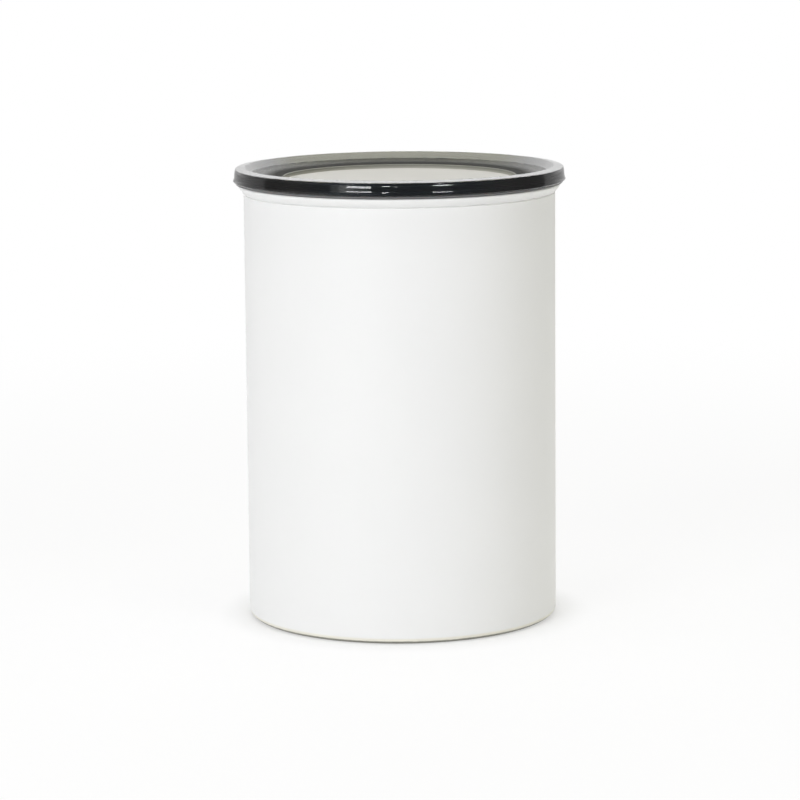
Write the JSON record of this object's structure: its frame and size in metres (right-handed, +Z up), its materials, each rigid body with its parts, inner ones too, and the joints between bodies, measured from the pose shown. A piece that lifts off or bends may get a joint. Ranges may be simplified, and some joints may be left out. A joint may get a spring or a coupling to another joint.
{
  "type": "storage canister",
  "caption": "Cylindrical painted steel food canister with a smoked lift-off lid and a sealed inner lid that presses down on the contents, with a folding handle that opens a vent valve.",
  "frame": {"origin": "centre of the canister's underside, on the surface that it stands on", "axes": "+Z up along the canister's axis, -Y towards the front, +X to the right seen from the front"},
  "size_m": [0.13, 0.13, 0.178],
  "materials": {
    "white_paint": "matte white powder coat",
    "bare_steel": "brushed",
    "smoked_plastic": "polished, smoked and see-through",
    "pale_disc": "pale grey, matte",
    "black_plastic": "fine matte texture",
    "silicone": "smooth matte",
    "handle_plastic": "satin"
  },
  "bodies": {
    "canister": {"canister_body": "white_paint", "base_pan": "bare_steel"},
    "lid": {"outer_lid": "smoked_plastic", "lid_disc": "pale_disc", "lid_seal": "silicone"},
    "plunger": {"plunger_base_plate": "black_plastic", "plunger_shell": "black_plastic", "wiper_seal": "silicone", "plate_screw_1": "bare_steel", "plate_screw_2": "bare_steel", "plate_screw_3": "bare_steel", "plate_screw_4": "bare_steel", "valve_housing": "black_plastic", "valve_spring": "bare_steel", "handle_pin_left": "bare_steel", "handle_pin_right": "bare_steel"},
    "handle": {"handle": "handle_plastic"},
    "valve": {"valve_stem": "handle_plastic", "valve_seal": "silicone", "valve_clip": "bare_steel"}
  },
  "joints": [
    {"name": "outer_lid_lift", "type": "slide", "parent": "canister", "child": "lid", "axis": [0, 0, 1], "range_m": [0, 0.08]},
    {"name": "plunger_slide", "type": "slide", "parent": "canister", "child": "plunger", "axis": [0, 0, 1], "range_m": [-0.109, 0]},
    {"name": "handle_fold", "type": "hinge", "parent": "plunger", "child": "handle", "pos_m": [0, 0, 0.137], "axis": [1, 0, 0], "range_deg": [0, 90]},
    {"name": "valve_travel", "type": "slide", "parent": "plunger", "child": "valve", "axis": [0, 0, 1], "range_m": [-0.0025, 0], "deforming": ["valve_spring"]}
  ],
  "couplings": [
    {"joint": "valve_travel", "follows": "handle_fold", "m_per_rad": -0.00159}
  ]
}
